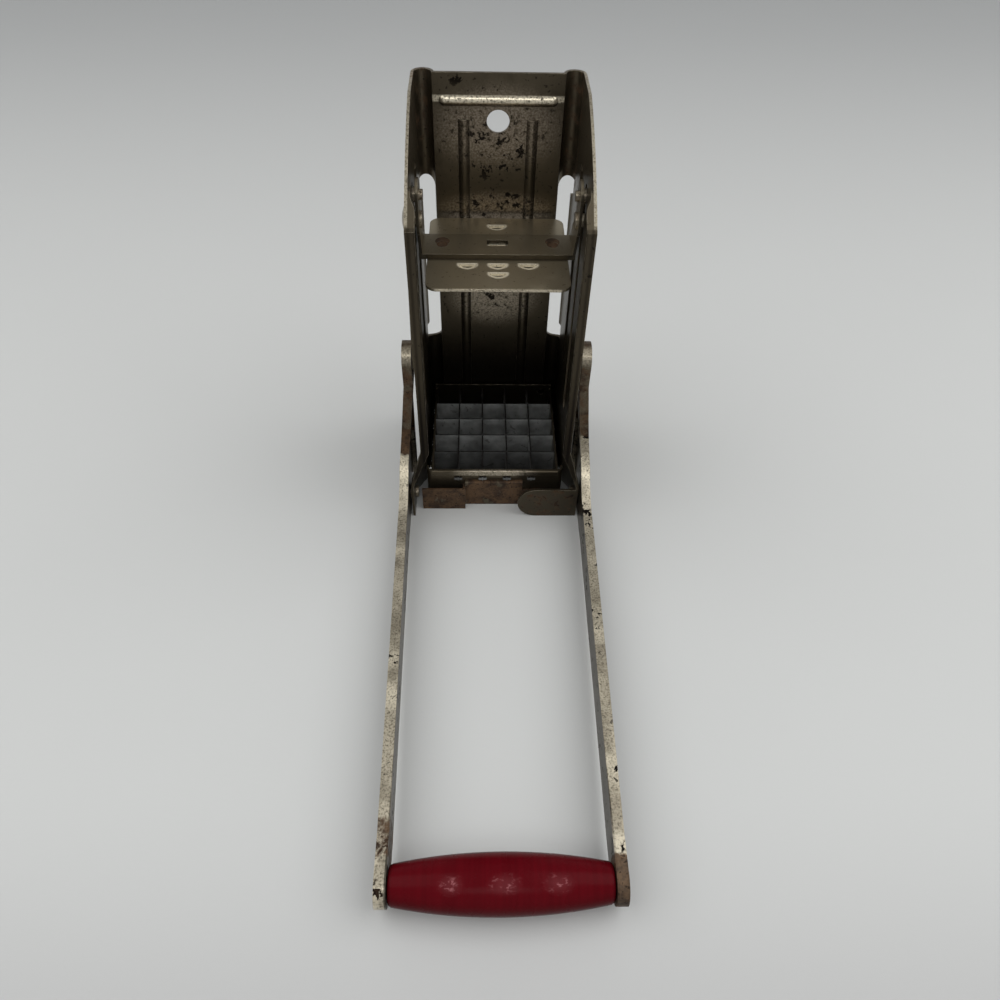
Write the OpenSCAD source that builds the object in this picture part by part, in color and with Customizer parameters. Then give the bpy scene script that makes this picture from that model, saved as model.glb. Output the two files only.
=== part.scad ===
// Lever-action french fry cutter of pressed sheet metal.
// A potato stands in an open-fronted channel on a crossed-blade grid. Lifting the
// bail handle towards the channel pulls the pusher down through two side links.
// Frame: +Z up, the channel's open front faces -Y, the handle lies forward on the
// surface at z = 0, x = 0 is the plane of symmetry.

/* [Fries and grid] */
// Thickness of one fry, which is the pitch of the blades
fry = 12.7; // [9:0.1:14]
// Number of fries in each direction
fry_count = 5; // [4:1:6]
// Thickness of one blade
blade_t = 0.7; // [0.4:0.05:1]
// Height of one blade
blade_h = 18; // [14:0.5:19]
// Sheet thickness of the grid's frame
frame_t = 1; // [0.6:0.1:1.4]
// Height of the grid's frame
frame_h = 20; // [19.5:0.5:24]
// Height of the grid's lower edge above the surface
grid_lift = 5; // [3:0.5:8]
// How far the rear wall of the grid's frame stands above the blades
rear_rise = 3; // [1:0.5:5]

/* [Channel] */
// Sheet thickness of the channel
sheet_t = 1.2; // [0.8:0.1:1.5]
// Height of the channel
channel_h = 194; // [185:1:215]
// Gap between the grid's frame and each side wall
side_gap = 2.85; // [2.4:0.05:4]
// Gap between the grid's frame and the back plate
back_gap = 1.5; // [0.5:0.1:3]
// How far the side walls reach in front of the grid's cells
front_reach = 10.5; // [9:0.5:14]
// Height at which the sloping shoulder meets the front edge
shoulder_h = 165; // [158:1:172]
// Depth of the sloping shoulder, measured back from the front edge
shoulder_d = 56.5; // [45:0.5:62]
// Radius of the shoulder's curve
shoulder_r = 160; // [90:5:300]
// Width of the turned-in flange along the front edge
lip_w = 4; // [3:0.1:4.6]
// Outside radius of the rounded rear corner columns
column_r = 4.9; // [4:0.1:6]
// Height where the sight windows in the columns start
window_z = 58; // [50:1:80]
// Height of the sight windows in the columns
window_h = 90.5; // [60:0.5:100]
// Diameter of the hanging hole
hang_d = 10; // [6:0.5:12]
// Height of the hanging hole
hang_z = 174; // [168:1:178]
// Width of the pressed ribs
rib_w = 5; // [3:0.1:6]
// How far the pressed ribs stand proud
rib_rise = 1.2; // [0.4:0.1:1.4]
// Distance of the back plate's ribs from the middle
rib_x = 15; // [10:0.5:18]

/* [Pivot ears] */
// How far each ear is set outwards from its side wall
ear_set = 6.2; // [5:0.1:8]
// Height where the set starts
ear_top = 46.5; // [38:0.5:48]
// Height where the ear runs straight down
ear_knee = 22; // [20.5:0.5:28]
// Distance from the front edge of the channel to the back of the ear, at the surface
ear_d = 29.3; // [29:0.1:32]
// Height of the handle pivot
pivot_z = 8; // [7.8:0.1:12]
// Length of the round-ended tab across the front
tab_w = 31; // [24:0.5:34]
// Height of the round-ended tab
tab_h = 20; // [14:0.5:20]

/* [Pusher] */
// Height of the pusher plate's top face with the handle down
pusher_z = 130.5; // [120:0.5:135]
// Side clearance between the pusher plate and each front flange
pusher_gap = 1.6; // [0.5:0.1:2]
// Front-to-back width of the yoke
yoke_w = 17; // [14:0.5:22]
// Height of the yoke above the pusher plate
yoke_h = 2.5; // [2.4:0.1:6]
// Height of the link pin above the pusher plate's top face
pin_rise = 20.5; // [18:0.5:24]
// Height of the guide stud above the link pin
stud_rise = 11; // [10:0.5:13]
// Width of one drainage scoop
scoop_w = 9.4; // [6:0.1:10]
// Depth of one drainage scoop
scoop_d = 2.2; // [1:0.1:3]

/* [Links and handle] */
// Width of each link
link_w = 14; // [12:0.5:16]
// Thickness of each link
link_t = 2; // [1.5:0.1:2.5]
// Height of the lower link pivot with the handle down
elbow_z = 88.5; // [84:0.5:96]
// Sheet thickness of the handle arms
arm_t = 1.4; // [1:0.1:1.8]
// Width of the short leg of each arm
leg_w = 15; // [13:0.5:18]
// Width of each arm where it carries the grip
arm_w = 16; // [14:0.5:18]
// Width of the turned-out flange of the arms
flange_w = 4.5; // [3:0.1:6]
// Width of the turned-in hem down the rear edge of the arms' short legs
hem_w = 2.5; // [1:0.1:3]
// How far each arm closes in on the way from its bend to the grip
arm_close = 2.5; // [0:0.1:3]
// Radius of the inside bend of the arms
bend_r = 33; // [25:0.5:38]
// Distance from the handle pivot to the grip's axis
handle_l = 198; // [150:1:240]
// Largest diameter of the grip
grip_d = 22; // [20:0.5:22]
// Diameter of the grip at its ends
grip_end_d = 14.2; // [12:0.2:18]
// Diameter of the rod through the grip
rod_d = 5.5; // [4:0.1:7]

/* [Rivets] */
// Diameter of the link pins and guide studs
pin_d = 6; // [4:0.1:7]
// Diameter of the handle's pivot rivets
pivot_d = 4.8; // [4:0.1:5.4]
// Diameter of the domed rivet heads
head_d = 11; // [9:0.5:12]
// Height of the domed rivet heads
head_h = 1.5; // [1:0.1:2]

/* [Clearances] */
// Radial clearance of a pin that turns
turn_fit = 0.05; // [0.02:0.01:0.1]
// Radial clearance of a pin that slides in its slot
slide_fit = 0.1; // [0.05:0.01:0.2]
// Gap between flat pieces that move past each other
face_gap = 0.3; // [0.2:0.05:0.5]
// Gap at each side of a blade in its slots
blade_fit = 0.05; // [0.02:0.01:0.1]
// Gap between the lowered pusher and the blades
end_gap = 1.7; // [0.5:0.1:3]
// Gap between each ear and its handle arm
arm_gap = 1.2; // [0.6:0.1:2]

/* [Hidden] */

$fn = 64;
fine_fn = 240;       // facets of the large, shallow arcs in the preview
cut = 0.5;           // how far a cutter runs past the face it cuts
big = 400;           // longer than the whole cutter

// Colours of the metals and the lacquered wood
nickel = [0.60, 0.57, 0.49];
bright = [0.72, 0.69, 0.60];
blade_steel = [0.55, 0.56, 0.57];
rusty = [0.45, 0.34, 0.27];
red_lacquer = [0.55, 0.04, 0.08];

// Grid: the cells' front plane is y = 0 until the whole cutter is centred
cells = fry * fry_count;
half_cells = cells / 2;
frame_out = half_cells + frame_t;
grid_top = grid_lift + frame_h;
blade_low = grid_top - blade_h;
tip_out = 0.9;                     // blade tip past the frame's outer face
tip_h = 2.4;
tip_z = grid_top - 5.6;
stake_d = 1.7;                     // lobes that the tip is spread into
stake_x = 1.3;
notch_h = blade_h / 2 + blade_fit;
rear_hole_d = 4;
rear_hole_x = half_cells - 4.5;
rear_hole_z = grid_top - 2;
wing_x = frame_out + side_gap - face_gap;
wing_r = 2.4;
wing_back = 1.5;
top_hem_t = 0.8;                   // fold along the front wall's top
top_hem_h = 3.2;

// Apron: its middle reaches from -apron_left to apron_right
apron_t = 1.2;
apron_top = tip_z - tip_h / 2 - 0.2;
apron_left = 15.5;
apron_right = 14.5;
apron_tongue = 24;
apron_tongue_h = 11;
apron_set = 3.3;
apron_end = frame_out + side_gap + sheet_t + 1.2;
apron_end_h = 15;
apron_roll_d = 1.8;

// Channel
wall_in = frame_out + side_gap;
wall_out = wall_in + sheet_t;
back_in = cells + frame_t + back_gap;
front_y = -front_reach;
column_x = wall_out - column_r;
column_in = column_r - sheet_t;
column_back = back_in + column_r;
window_in = column_x - column_in + 0.3;
window_out = column_x + column_in - 0.9;
window_in_r = 4.6;                 // corners towards the middle
window_out_r = 1;                  // corners towards the wall
wall_foot = grid_lift - sheet_t;   // the walls' lower edge is turned in as a shelf
shelf_x = half_cells + 0.25;
shelf_inset = 3;
lip_in = wall_out - lip_w;
lip_neck = 2.2;                    // width where the flange starts on the shoulder
lip_top = shoulder_h + 9.5;
lip_swell = shoulder_h + 8.6;      // height where it starts to widen
lip_swell_h = 3.6;
lip_taper = 10.5;
rib_top = hang_z + 1;
rib_r = (pow(rib_w / 2, 2) + pow(rib_rise, 2)) / (2 * rib_rise);
top_rib_z = channel_h - 11.4;
top_rib_w = 4.4;
top_rib_rise = 1.3;
top_rib_r = (pow(top_rib_w / 2, 2) + pow(top_rib_rise, 2)) / (2 * top_rib_rise);
top_rib_l = column_x - column_r - 1.5;
side_rib_rise = 0.7;
side_rib_w = 6;
side_rib_r = (pow(side_rib_w / 2, 2) + pow(side_rib_rise, 2)) / (2 * side_rib_rise);
shoulder_a = [front_y + shoulder_d, channel_h];
shoulder_b = [front_y, shoulder_h];
shoulder_chord = norm(shoulder_b - shoulder_a);
shoulder_along = (shoulder_b - shoulder_a) / shoulder_chord;
shoulder_centre = (shoulder_a + shoulder_b) / 2
    + sqrt(pow(shoulder_r, 2) - pow(shoulder_chord / 2, 2))
    * [-shoulder_along[1], shoulder_along[0]];

// Ears and the front tab
ear_out = wall_out + ear_set;
ear_in = ear_out - sheet_t;
ear_back = front_y + ear_d;
ear_slope = ear_set / (ear_top - ear_knee);
ear_rear_slope = 0.7;
ear_rear_tilt = 30;                // the rear slope faces this far up from the rear
pivot_y = 0;

// Pusher
plate_x = lip_in - pusher_gap;
plate_front = 4;
plate_back = cells - 0.8;
plate_corner = 5;
plate_low = pusher_z - sheet_t;
yoke_y = 35.6;
yoke_x = wall_in - 1.3;
yoke_top = pusher_z + yoke_h;
yoke_rivet_x = 24.7;
yoke_rivet_d = 3.2;
dimple_d = 5;
pin_y = 24.5;
pin_z = pusher_z + pin_rise;
stud_z = pin_z + stud_rise;
stud_tenon_d = 4.3;
tail_h = 1.7;
yoke_slot_front = yoke_y - 1.3;
yoke_slot_w = 4.9;
rivet_foot = 1.6;                  // how much wider the yoke rivets' lower heads are
scoop_t = 1;
scoop_r = (pow(scoop_w / 2, 2) + pow(scoop_d, 2)) / (2 * scoop_d);
scoop_row = 23.3;
scoop_x = 13.4;
scoop_places = [[0, 56], [0, yoke_slot_front + yoke_slot_w], [-scoop_x, scoop_row],
                [0, scoop_row], [scoop_x, scoop_row], [0, 16.3]];

// Stroke: from the raised pusher down until its scoops are end_gap above the blades
stroke = pusher_z - scoop_d - scoop_t / 2 - end_gap - grid_top;
slot_top = stud_z + pin_d / 2 + 2;
slot_low = pin_z - stroke - pin_d / 2 - 1;
side_rib_y = pin_y + 18.5;
side_rib_low = ear_top + 18;
side_rib_top = stud_z + 3;

// Links: hung on the pins, outside the walls
link_in = wall_out + face_gap;
link_out = link_in + link_t;
elbow_y = 12;
link_l = norm([pin_y - elbow_y, pin_z - elbow_z]);
link_lean = atan2(pin_y - elbow_y, pin_z - elbow_z);
link_head_d = link_w - 1;

// Handle arms
arm_in = ear_out + arm_gap;
far_in = arm_in - arm_close;
pad_in = link_out + 0.4;
arm_foot = 0.5;
grip_z = grip_d / 2;
grip_y = pivot_y - handle_l;
arm_end_r = arm_w / 2;
arm_top = grip_z + arm_end_r;
leg_r = leg_w / 2;
leg_front = elbow_y - leg_r;
heel_r = 19;
heel_y = elbow_y + leg_r - heel_r;
heel_z = arm_foot + heel_r;
fillet_y = leg_front - bend_r;
fillet_z = arm_top + bend_r;
fold_low = 30;
fold_high = elbow_z - 12;
hem_top = 58;
close_end = grip_y + arm_w;        // from here on the arms run parallel to the middle
grip_half = far_in - face_gap;
grip_r = grip_d / 2;
grip_sag = (grip_d - grip_end_d) / 2;
grip_arc = (pow(grip_half, 2) + pow(grip_sag, 2)) / (2 * grip_sag);
grip_round = 1.2;
rod_head_d = 8.6;

// The middle of the front-to-back length is the origin
frame_y = (handle_l - pivot_y + grip_r - column_back) / 2;

// ---------------------------------------------------------------- helpers

// Moves a piece from the cells' front plane to the cutter's own origin
module placed() {
    translate([0, frame_y, 0]) children();
}

// Extrudes an outline drawn as [y, z] along +x, starting at x
module from_side(x, t) {
    translate([x, 0, 0]) rotate([90, 0, 90]) linear_extrude(t) children();
}

// Extrudes an outline drawn as [x, z] along +y, starting at y
module from_front(y, t) {
    translate([0, y + t, 0]) rotate([90, 0, 0]) linear_extrude(t) children();
}

// A cylinder along +x
module pin_x(x, y, z, d, l) {
    translate([x, y, z]) rotate([0, 90, 0]) cylinder(d = d, h = l);
}

// A shallow domed head on a flat base, pointing along +x
module dome_x(x, y, z, d, h) {
    r = (pow(d / 2, 2) + h * h) / (2 * h);
    translate([x, y, z]) rotate([0, 90, 0]) rotate_extrude() intersection() {
        translate([0, h - r]) circle(r = r, $fn = fine_fn);
        square([d, h]);
    }
}

// A slot outline with round ends, from one centre to the other, along the second axis
module slot_outline(w, low, high) {
    translate([0, low]) circle(d = w);
    translate([0, high]) circle(d = w);
    translate([-w / 2, low]) square([w, high - low]);
}

// Draws the right-hand piece on the left as well
module both_sides() {
    children();
    mirror([1, 0, 0]) children();
}

// ---------------------------------------------------------------- channel

// Points of the shoulder's arc from the top edge down to the front edge
function shoulder_points(steps = 24) =
    let (a = shoulder_a - shoulder_centre, b = shoulder_b - shoulder_centre,
         start = atan2(a[1], a[0]), stop = atan2(b[1], b[0]))
    [for (i = [0:steps]) let (t = start + (stop - start) * i / steps)
        shoulder_centre + shoulder_r * [cos(t), sin(t)]];

// Side wall seen from the side
module wall_outline() {
    polygon(concat([[back_in, wall_foot], [back_in, channel_h]], shoulder_points(),
        [[front_y, wall_foot]]));
}

// Space that the ear's bulge takes up at the wall's lower front corner, seen from the
// front and moved inwards by inset: the ear's face and the slope above it
module ear_front(inset) {
    x0 = inset > 0 ? wall_in - cut : wall_in;
    low = inset > 0 ? -cut : 0;
    polygon([[x0, low], [ear_out - inset, low], [ear_out - inset, ear_knee],
             [x0, ear_top + (wall_out - inset - x0) / ear_slope]]);
}

// Slope behind the ear's face, seen along its foot
module ear_rear(inset) {
    x0 = wall_in - 2 * cut;
    x1 = ear_out + cut;
    foot = ear_back * cos(ear_rear_tilt);
    polygon([[x0, -big], [x1, -big],
             [x1, foot + (wall_out - inset - x1) / ear_rear_slope],
             [x0, foot + (wall_out - inset - x0) / ear_rear_slope]]);
}

module ear_space(inset) {
    reach = inset > 0 ? cut : 0;
    intersection() {
        from_front(front_y - reach, big) ear_front(inset);
        rotate([ear_rear_tilt, 0, 0]) linear_extrude(2 * big, center = true)
            ear_rear(inset);
    }
}

// Side wall with the ear bulged out of its lower front corner
module wall_sheet() {
    difference() {
        union() {
            from_side(wall_in, sheet_t) wall_outline();
            ear_space(0);
        }
        ear_space(sheet_t);
    }
    // shelf turned in along the lower edge, under the grid's frame
    translate([shelf_x, ear_back + shelf_inset, wall_foot])
        cube([wall_in - shelf_x + cut, back_in - ear_back - 2 * shelf_inset, sheet_t]);
    // stiffening rib pressed inwards behind the pin's slot
    intersection() {
        translate([wall_in - side_rib_rise + side_rib_r, side_rib_y, side_rib_low])
            cylinder(r = side_rib_r, h = side_rib_top - side_rib_low, $fn = fine_fn);
        translate([wall_in - side_rib_rise - cut, side_rib_y - side_rib_w, 0])
            cube([side_rib_rise + 2 * cut, 2 * side_rib_w, channel_h]);
    }
}

// Band of the wall's outline along the front edge and the shoulder
module front_rim() {
    difference() {
        wall_outline();
        intersection() {
            translate(shoulder_centre) circle(r = shoulder_r - sheet_t, $fn = fine_fn);
            translate([front_y + sheet_t, -cut]) square(big);
        }
    }
}

// Turned-in flange seen from the front: narrow where it starts on the shoulder, full
// width down the front edge, then tapered along the ear; its outer side lies within
// the wall
module lip_outline() {
    steps = 8;
    x = wall_out - sheet_t / 2;
    polygon(concat(
        [[x, ear_top], [x, lip_top], [wall_out - lip_neck, lip_top]],
        [for (i = [0:steps]) [
            wall_out - lip_neck - (lip_w - lip_neck) * (1 - cos(180 * i / steps)) / 2,
            lip_swell - lip_swell_h * i / steps]],
        [[lip_in, ear_top], [wall_out, ear_top - lip_taper], [ear_in, ear_knee],
         [ear_out - sheet_t / 2, ear_knee]]));
}

module lip_sheet() {
    intersection() {
        from_side(0, big) front_rim();
        from_front(-big, 2 * big) lip_outline();
    }
}

// Half-round column at each rear corner
module column_outline() {
    difference() {
        translate([column_x, back_in]) circle(r = column_r);
        translate([column_x, back_in]) circle(r = column_in);
        translate([0, back_in - 2 * column_r]) square([2 * column_x, 2 * column_r]);
    }
}

// Sight window through the column, rounder on its inner side
module window_cut() {
    ri = window_in_r;
    ro = window_out_r;
    w = window_out - window_in;
    from_front(back_in + cut, 2 * column_r) translate([window_in, window_z]) {
        translate([ri, 0]) square([w - ri - ro, window_h]);
        translate([0, ri]) square([ri, window_h - 2 * ri]);
        translate([w - ro, ro]) square([ro, window_h - 2 * ro]);
        for (z = [ri, window_h - ri]) translate([ri, z]) circle(r = ri);
        for (z = [ro, window_h - ro]) translate([w - ro, z]) circle(r = ro);
    }
}

module back_sheet() {
    translate([0, 0, wall_foot]) linear_extrude(channel_h - wall_foot)
        translate([-column_x + column_in, back_in]) square([2 * (column_x - column_in), sheet_t]);
    linear_extrude(channel_h) both_sides() column_outline();
    // shelf turned in under the rear of the grid's frame
    translate([-column_x + column_r, cells + 0.25, wall_foot])
        cube([2 * (column_x - column_r), back_in - cells - 0.25 + cut, sheet_t]);
}

// Cylinders of the pressed ribs: the ridge for inset 0, its groove behind for inset sheet_t
module rib_rods(inset) {
    reach = inset > 0 ? cut : 0;
    for (x = [-rib_x, rib_x])
        translate([x, back_in - rib_rise + rib_r, wall_foot - reach])
            cylinder(r = rib_r - inset, h = rib_top - wall_foot + reach, $fn = fine_fn);
    // rib across the top, with domed ends
    end_x = top_rib_l - top_rib_w / 2;
    translate([0, back_in - top_rib_rise + top_rib_r, top_rib_z]) {
        rotate([0, 90, 0])
            cylinder(r = top_rib_r - inset, h = 2 * end_x, center = true);
        for (x = [-end_x, end_x]) translate([x, 0, 0]) sphere(r = top_rib_r - inset);
    }
}

// Slot in which the link pin and the guide stud slide, closed at both ends
module pin_slot() {
    from_side(wall_in - cut, sheet_t + 2 * cut)
        translate([pin_y, 0])
            slot_outline(pin_d + 2 * slide_fit, slot_low + pin_d / 2, slot_top - pin_d / 2);
}

// Round-ended tab bent across the front from the right ear
module front_tab() {
    from_front(front_y, sheet_t) {
        translate([ear_out - tab_w + tab_h / 2, tab_h / 2]) circle(d = tab_h);
        translate([ear_out - tab_w + tab_h / 2, 0])
            square([tab_w - (tab_h + sheet_t) / 2, tab_h]);
    }
}

module body_shell() {
    color(nickel) placed() difference() {
        union() {
            both_sides() {
                wall_sheet();
                lip_sheet();
            }
            back_sheet();
            front_tab();
            intersection() {
                rib_rods(0);
                translate([-big / 2, back_in - rib_w, 0])
                    cube([big, rib_w + sheet_t / 2, big]);
            }
        }
        intersection() {
            rib_rods(sheet_t);
            translate([-big / 2, back_in, -cut]) cube([big, big, big]);
        }
        both_sides() {
            window_cut();
            pin_slot();
            pin_x(ear_in - cut, pivot_y, pivot_z, pivot_d + 2 * turn_fit, sheet_t + 2 * cut);
        }
        translate([0, back_in - cut, hang_z]) rotate([-90, 0, 0])
            cylinder(d = hang_d, h = sheet_t + 2 * cut);
    }
}

// ---------------------------------------------------------------- grid

// Windows in a frame wall for the blades' tips, drawn as [along, z]
module tip_windows() {
    for (i = [1:fry_count - 1])
        translate([fry * i - blade_t / 2 - blade_fit, tip_z - tip_h / 2 - blade_fit])
            square([blade_t + 2 * blade_fit, tip_h + 2 * blade_fit]);
}

// End of the front wall, turned back round the corner
module frame_corner() {
    translate([wing_x - wing_r, wing_r - frame_t, grid_lift]) {
        intersection() {
            difference() {
                cylinder(r = wing_r, h = frame_h);
                translate([0, 0, -cut]) cylinder(r = wing_r - frame_t, h = frame_h + 2 * cut);
            }
            translate([0, -wing_r, 0]) cube([wing_r, wing_r, frame_h]);
        }
        translate([wing_r - frame_t, 0, 0]) cube([frame_t, wing_back, frame_h]);
    }
}

module grid_frame() {
    fold_r = (frame_t + top_hem_t) / 2;
    color(nickel) placed() difference() {
        union() {
            translate([-frame_out, -frame_t, grid_lift])
                cube([2 * frame_out, cells + 2 * frame_t, frame_h]);
            // rear wall stands higher
            translate([-frame_out, cells, grid_lift])
                cube([2 * frame_out, frame_t, frame_h + rear_rise]);
            // fold along the top of the front wall
            translate([-frame_out, -frame_t - top_hem_t, grid_top - top_hem_h])
                cube([2 * frame_out, top_hem_t + cut / 2, top_hem_h - fold_r]);
            translate([-frame_out, -fold_r, grid_top - fold_r]) rotate([0, 90, 0])
                cylinder(r = fold_r, h = 2 * frame_out);
            // the front wall runs on to the side walls and turns back there
            translate([wing_r - wing_x, -frame_t, grid_lift])
                cube([2 * (wing_x - wing_r), frame_t, frame_h]);
            both_sides() frame_corner();
        }
        translate([-half_cells, 0, grid_lift - cut]) cube([cells, cells, frame_h + 2 * cut]);
        for (y = [-frame_t - cut, cells - cut])
            from_front(y, frame_t + 2 * cut) translate([-half_cells, 0]) tip_windows();
        for (x = [-frame_out - cut, half_cells - cut])
            from_side(x, frame_t + 2 * cut) tip_windows();
        translate([rear_hole_x, cells - cut, rear_hole_z]) rotate([-90, 0, 0])
            cylinder(d = rear_hole_d, h = frame_t + 2 * cut);
    }
}

// One blade as [along, z]: a tip at each end and half-height notches where it crosses
// the others, open at the top or at the bottom
module blade_outline(open_top) {
    reach = frame_t + tip_out;
    difference() {
        union() {
            translate([0, blade_low]) square([cells, blade_h]);
            translate([-reach, tip_z - tip_h / 2]) square([cells + 2 * reach, tip_h]);
        }
        for (i = [1:fry_count - 1])
            translate([fry * i - blade_t / 2 - blade_fit,
                       open_top ? grid_top - notch_h : blade_low - cut])
                square([blade_t + 2 * blade_fit, notch_h + cut]);
    }
}

// End of a blade's tip at x, spread to both sides outside the frame's wall
module staked_tip(x) {
    translate([x, 0, tip_z]) {
        translate([0, -stake_x, -stake_d / 4]) cube([tip_out - blade_fit, 2 * stake_x, stake_d / 2]);
        for (y = [-stake_x, stake_x]) pin_x(0, y, 0, stake_d, tip_out - blade_fit);
    }
}

// Blade along +x, seen with its notches open at the top or at the bottom
module blade(open_top) {
    from_front(-blade_t / 2, blade_t) blade_outline(open_top);
    staked_tip(-frame_t - tip_out);
    staked_tip(cells + frame_t + blade_fit);
}

// Blade number i that runs from front to back
module blade_long(i) {
    color(blade_steel) placed()
        translate([fry * i - half_cells, 0, 0]) rotate([0, 0, 90]) blade(true);
}

// Blade number i that runs from side to side
module blade_cross(i) {
    color(blade_steel) placed() translate([-half_cells, fry * i, 0]) blade(false);
}

// Apron across the front of the grid: a plain middle with a rolled top edge, and a left
// end set forward
module grid_apron() {
    face = -frame_t - apron_t;
    color(rusty) placed() {
        from_front(face, apron_t) {
            translate([-apron_left, 0]) square([apron_left + apron_right, apron_top]);
            square([apron_tongue, apron_tongue_h]);
        }
        // rolled top edge
        translate([-apron_left, face + 0.1, apron_top - apron_roll_d / 2])
            rotate([0, 90, 0]) cylinder(d = apron_roll_d, h = apron_left + apron_right);
        // left end, set forward over a step
        translate([-apron_end, face - apron_set, 0])
            cube([apron_end - apron_left - apron_t, apron_t, apron_end_h]);
        translate([-apron_left - apron_t, face - apron_set, 0])
            cube([apron_t, apron_set + apron_t, apron_end_h]);
    }
}

// ---------------------------------------------------------------- pusher

module plate_outline() {
    r = plate_corner;
    w = 2 * (plate_x - r);
    d = plate_back - plate_front;
    translate([-plate_x + r, plate_front]) square([w, d]);
    translate([-plate_x, plate_front + r]) square([2 * plate_x, d - 2 * r]);
    for (x = [-plate_x + r, plate_x - r], y = [plate_front + r, plate_back - r])
        translate([x, y]) circle(r = r);
}

// Half-round scoop pressed down from the plate, open along its straight rear edge
module scoop() {
    translate([0, 0, pusher_z - scoop_d + scoop_r]) intersection() {
        difference() {
            sphere(r = scoop_r + scoop_t / 2);
            sphere(r = scoop_r - scoop_t / 2);
        }
        translate([-scoop_w, -scoop_w, -scoop_r - scoop_t])
            cube([2 * scoop_w, scoop_w, scoop_d + scoop_t]);
    }
}

module pusher_plate() {
    color(nickel) placed() {
        difference() {
            translate([0, 0, plate_low]) linear_extrude(sheet_t) plate_outline();
            for (p = scoop_places)
                translate([p[0], p[1], plate_low - cut]) intersection() {
                    cylinder(d = scoop_w, h = sheet_t + 2 * cut);
                    translate([-scoop_w, -scoop_w, 0])
                        cube([2 * scoop_w, scoop_w, sheet_t + 2 * cut]);
                }
            for (x = [-yoke_rivet_x, yoke_rivet_x])
                translate([x, yoke_y, plate_low - cut])
                    cylinder(d = yoke_rivet_d, h = sheet_t + 2 * cut);
        }
        for (p = scoop_places) translate([p[0], p[1], 0]) scoop();
    }
}

// Ear of the yoke seen from the side: from the yoke's end up to the pin and the stud
module yoke_ear_outline() {
    base = yoke_y - yoke_w / 2;
    r = pin_d / 2 + 3.5;
    difference() {
        union() {
            translate([pin_y, pin_z]) circle(r = r);
            translate([pin_y, stud_z]) circle(r = r);
            translate([pin_y - r, pin_z]) square([2 * r, stud_rise]);
            polygon([[base, pusher_z], [base + yoke_w, pusher_z], [base + yoke_w, yoke_top],
                     [pin_y + r, pin_z], [pin_y - r, pin_z], [base, yoke_top]]);
        }
        translate([pin_y, pin_z]) circle(d = pin_d);
        translate([pin_y, stud_z]) circle(d = stud_tenon_d);
    }
}

// Inverted shallow channel across the plate, its ends turned up as ears
module pusher_yoke() {
    y0 = yoke_y - yoke_w / 2;
    color(nickel) placed() {
        difference() {
            translate([-yoke_x, y0, pusher_z]) cube([2 * yoke_x, yoke_w, yoke_h]);
            translate([-yoke_x + sheet_t, y0 + sheet_t, pusher_z - cut])
                cube([2 * (yoke_x - sheet_t), yoke_w - 2 * sheet_t, yoke_h - sheet_t + cut]);
            translate([-scoop_w / 2, yoke_slot_front, yoke_top - sheet_t - cut])
                cube([scoop_w, yoke_slot_w, sheet_t + 2 * cut]);
            for (x = [-yoke_rivet_x, yoke_rivet_x])
                translate([x, yoke_y, yoke_top - sheet_t - cut])
                    cylinder(d = dimple_d, h = sheet_t + 2 * cut);
        }
        // dimples that seat the yoke on the plate at its rivets
        for (x = [-yoke_rivet_x, yoke_rivet_x]) translate([x, yoke_y, pusher_z]) difference() {
            cylinder(d = dimple_d + 2 * sheet_t, h = yoke_h);
            translate([0, 0, sheet_t]) cylinder(d = dimple_d, h = yoke_h);
            translate([0, 0, -cut]) cylinder(d = yoke_rivet_d, h = yoke_h);
        }
        both_sides() from_side(yoke_x - sheet_t, sheet_t) yoke_ear_outline();
    }
}

// Rivets through the yoke's dimples and the plate
module yoke_rivets() {
    color(rusty) placed() for (x = [-yoke_rivet_x, yoke_rivet_x]) translate([x, yoke_y, 0]) {
        translate([0, 0, plate_low - 1]) cylinder(d = yoke_rivet_d + rivet_foot, h = 1);
        translate([0, 0, plate_low]) cylinder(d = yoke_rivet_d, h = 2 * sheet_t);
        translate([0, 0, pusher_z + sheet_t]) cylinder(d = dimple_d - 0.2, h = 1.2);
    }
}

// Shoulder pin that carries the link: broad domed head outside, flattened tail inside
module link_pin() {
    tail = yoke_x - sheet_t;
    color(bright) {
        pin_x(tail - 1, pin_y, pin_z, pin_d + 1, 1);
        pin_x(tail, pin_y, pin_z, pin_d, link_out - tail);
        dome_x(link_out, pin_y, pin_z, link_head_d, head_h);
    }
}

// Guide stud above it, which stops the pusher from tipping
module guide_stud() {
    tail = yoke_x - sheet_t;
    color(bright) {
        pin_x(tail - tail_h, pin_y, stud_z, stud_tenon_d, tail_h + sheet_t);
        pin_x(yoke_x, pin_y, stud_z, pin_d, wall_out + face_gap / 3 - yoke_x);
    }
}

// ---------------------------------------------------------------- links and handle

// Flat bar with round ends from the pin down to the elbow
module link() {
    bore = pin_d + 2 * turn_fit;
    color(nickel) from_side(link_in, link_t) translate([pin_y, pin_z]) rotate(180 - link_lean)
        difference() {
            slot_outline(link_w, 0, link_l);
            circle(d = bore);
            translate([0, link_l]) circle(d = bore);
        }
}

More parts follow.
